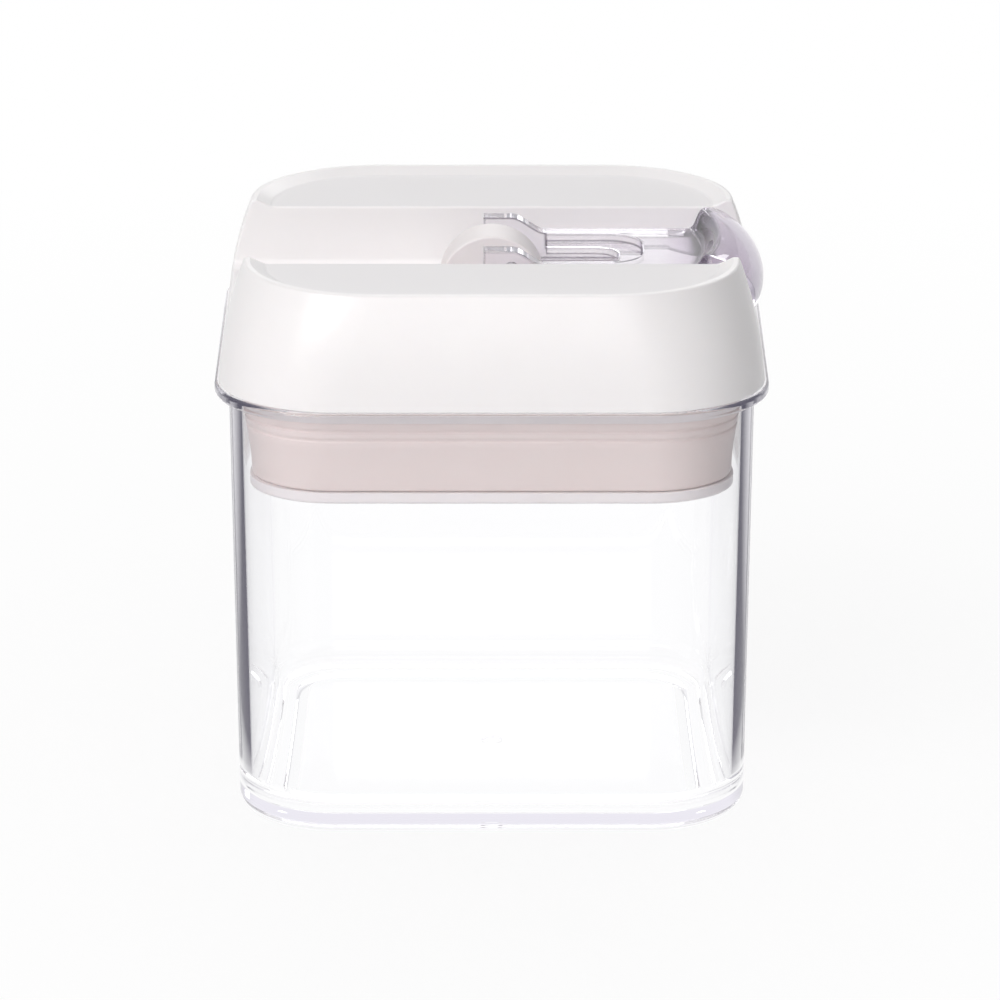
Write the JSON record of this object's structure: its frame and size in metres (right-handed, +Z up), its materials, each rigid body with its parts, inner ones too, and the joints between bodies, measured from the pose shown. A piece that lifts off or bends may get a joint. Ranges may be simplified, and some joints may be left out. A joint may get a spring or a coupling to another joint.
{
  "type": "storage container",
  "caption": "Square clear storage jar with a white lid whose clear flip lever pulls up a press plate and squeezes a silicone seal.",
  "frame": {"origin": "centre of the jar's resting face", "axes": "+Z up through the lid, +X towards the lever's nose, +Y to the rear hump of the lid"},
  "size_m": [0.11, 0.11, 0.1117],
  "materials": {
    "clear_jar": "clear, polished, slight lavender tint",
    "clear_lever": "clear, polished, slight violet tint",
    "white_shell": "gloss",
    "white_base": "satin",
    "white_plate": "satin",
    "white_rod": "gloss",
    "silicone": "milky, satin",
    "seal_rubber": "satin",
    "steel": "drawn, bright"
  },
  "bodies": {
    "jar": {"jar": "clear_jar"},
    "lid": {"lid_shell": "white_shell", "lid_base": "white_base", "gasket": "silicone", "return_spring": "steel", "rod_seal": "seal_rubber", "seal_washer": "steel", "lid_screws": "steel"},
    "rod": {"pull_rod": "white_rod", "press_plate": "white_plate", "plate_washer": "steel", "plate_screw": "steel", "screw_cap": "white_plate"},
    "lever": {"lever": "clear_lever", "lever_pin": "steel"}
  },
  "joints": [
    {"name": "lid_lift", "type": "slide", "parent": "jar", "child": "lid", "axis": [0, 0, 1], "range_m": [0, 0.12]},
    {"name": "rod_drop", "type": "slide", "parent": "lid", "child": "rod", "axis": [0, 0, -1], "range_m": [0, 0.0018], "deforming": ["gasket", "return_spring"]},
    {"name": "lever_flip", "type": "hinge", "parent": "rod", "child": "lever", "pos_m": [0.004, 0, 0.10485], "axis": [0, -1, 0], "range_deg": [0, 90]}
  ],
  "couplings": [
    {"joint": "lever_flip", "follows": "rod_drop", "rad_per_m": 872.66}
  ]
}
